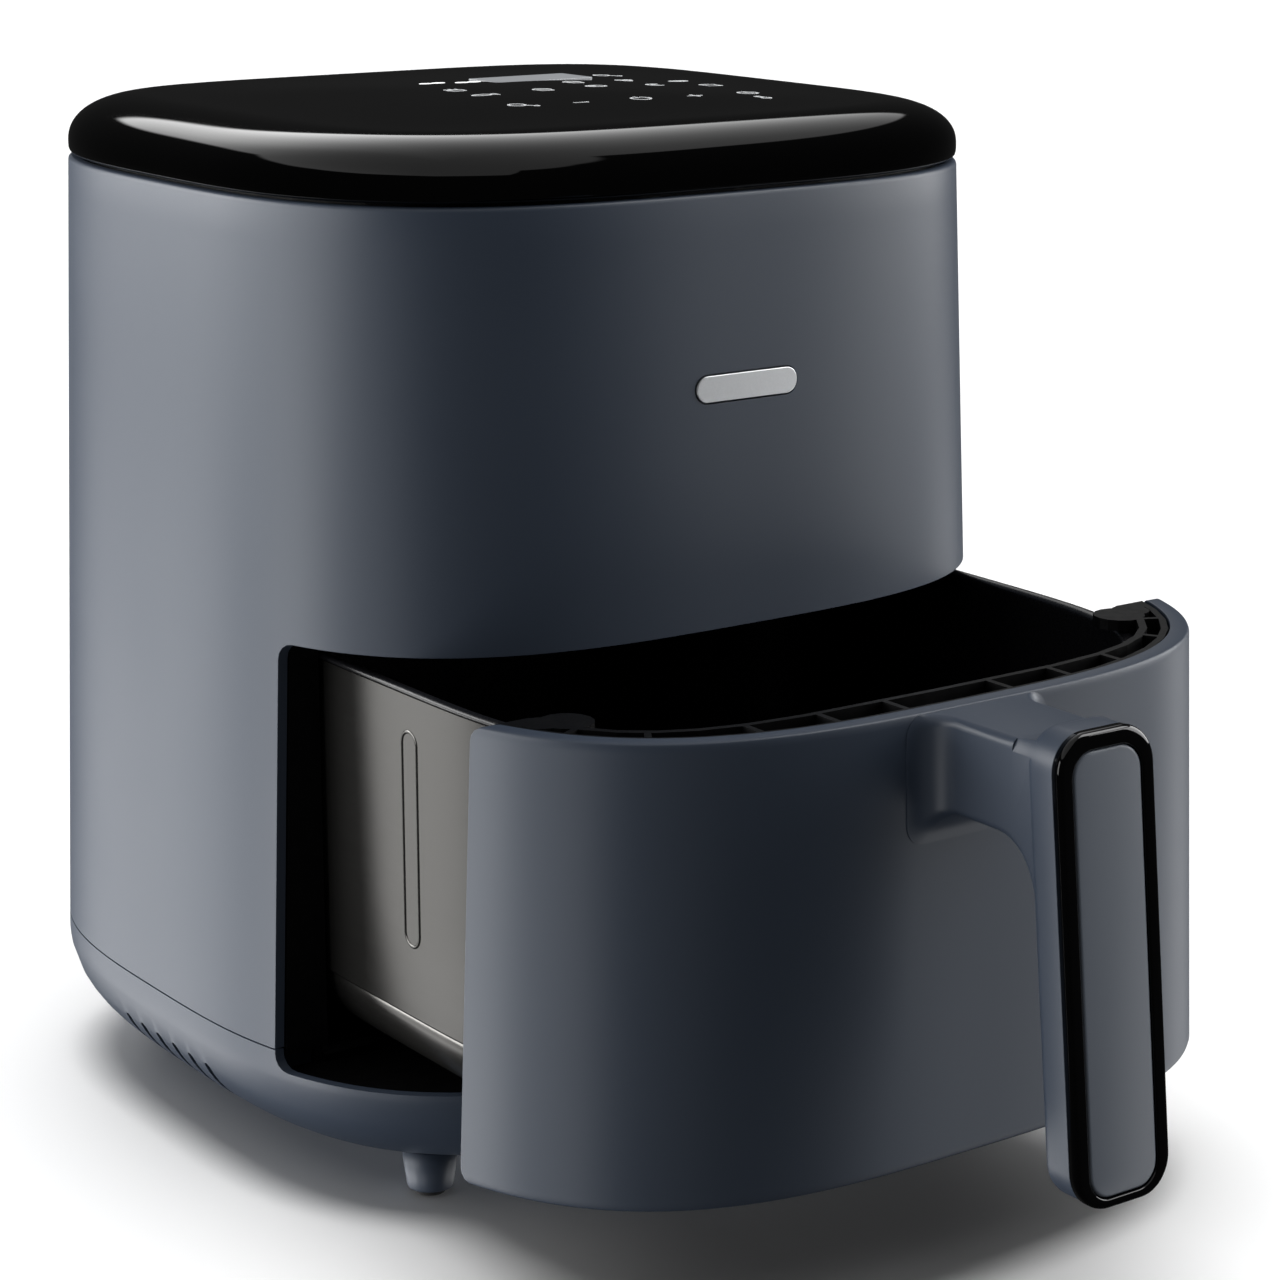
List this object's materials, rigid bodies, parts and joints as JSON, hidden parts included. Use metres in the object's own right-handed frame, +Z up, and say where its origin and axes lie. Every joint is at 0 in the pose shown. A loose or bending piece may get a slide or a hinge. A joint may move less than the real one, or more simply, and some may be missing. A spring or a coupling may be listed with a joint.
{
  "type": "drawer air fryer",
  "caption": "Compact drawer air fryer: rounded-square housing on short feet, glossy touch lid, pull-out pan drawer with a vertical handle, lift-out grill plate, fan and coil inside.",
  "frame": {"origin": "on the counter, under the middle of the bounding box of the whole part with the drawer part open", "axes": "+Z up, drawer and handle towards -Y, +X to the right seen from the back of the drawer travel; the housing's own middle is at x = 0, y = 0.0749"},
  "size_m": [0.2606, 0.4178, 0.3105],
  "materials": {
    "slate_plastic": "satin",
    "gloss_black_plastic": "polished",
    "black_plastic": "fine texture",
    "rubber": "matt",
    "pan_metal": "satin",
    "nonstick": "satin non-stick coating",
    "steel": "rolled",
    "coil": "heat-darkened",
    "aluminium": "satin",
    "circuit_board": "solder mask",
    "display_glass": "smoked",
    "screw_steel": "zinc plated"
  },
  "bodies": {
    "housing": {"outer_shell": "slate_plastic", "base_tray": "slate_plastic", "lid": "gloss_black_plastic", "joint_ring": "black_plastic", "cavity_liner": "black_plastic", "thermostat": "black_plastic", "exhaust_grille": "black_plastic", "cord_gland": "black_plastic", "switch_body": "black_plastic", "foot_pad_front_left": "rubber", "foot_pad_front_right": "rubber", "foot_pad_back_left": "rubber", "foot_pad_back_right": "rubber", "air_chamber": "steel", "motor": "steel", "motor_bracket": "steel", "exhaust_duct": "steel", "heating_coil": "coil", "badge": "aluminium", "pan_runner_left": "aluminium", "pan_runner_right": "aluminium", "control_board": "circuit_board", "power_board": "circuit_board", "display_window": "display_glass", "base_screw_front_left": "screw_steel", "base_screw_front_right": "screw_steel", "base_screw_back_left": "screw_steel", "base_screw_back_right": "screw_steel"},
    "drawer": {"drawer_front": "slate_plastic", "front_liner": "black_plastic", "pan_jacket": "pan_metal", "pan_bowl": "nonstick", "handle": "slate_plastic", "handle_frame": "gloss_black_plastic", "handle_inlay": "slate_plastic", "handle_screw_left": "screw_steel", "handle_screw_right": "screw_steel"},
    "grill": {"grill_plate": "nonstick", "grill_bumper_front_left": "rubber", "grill_bumper_front_right": "rubber", "grill_bumper_back_left": "rubber", "grill_bumper_back_right": "rubber"},
    "rotor": {"motor_shaft": "steel", "hot_fan": "steel", "cooling_fan": "black_plastic"},
    "plunger": {"switch_plunger": "aluminium"}
  },
  "joints": [
    {"name": "drawer_slide", "type": "slide", "parent": "housing", "child": "drawer", "axis": [0, -1, 0], "range_m": [-0.0983, 0.115]},
    {"name": "grill_lift", "type": "slide", "parent": "drawer", "child": "grill", "axis": [0, 0, 1], "range_m": [0, 0.085]},
    {"name": "fan_spin", "type": "hinge", "parent": "housing", "child": "rotor", "pos_m": [0, 0.0749, 0.2], "axis": [0, 0, 1], "continuous": true},
    {"name": "switch_press", "type": "slide", "parent": "housing", "child": "plunger", "axis": [0, 1, 0], "range_m": [0, 0.0022], "stiffness_N_per_m": 300, "springref_m": -0.001}
  ]
}
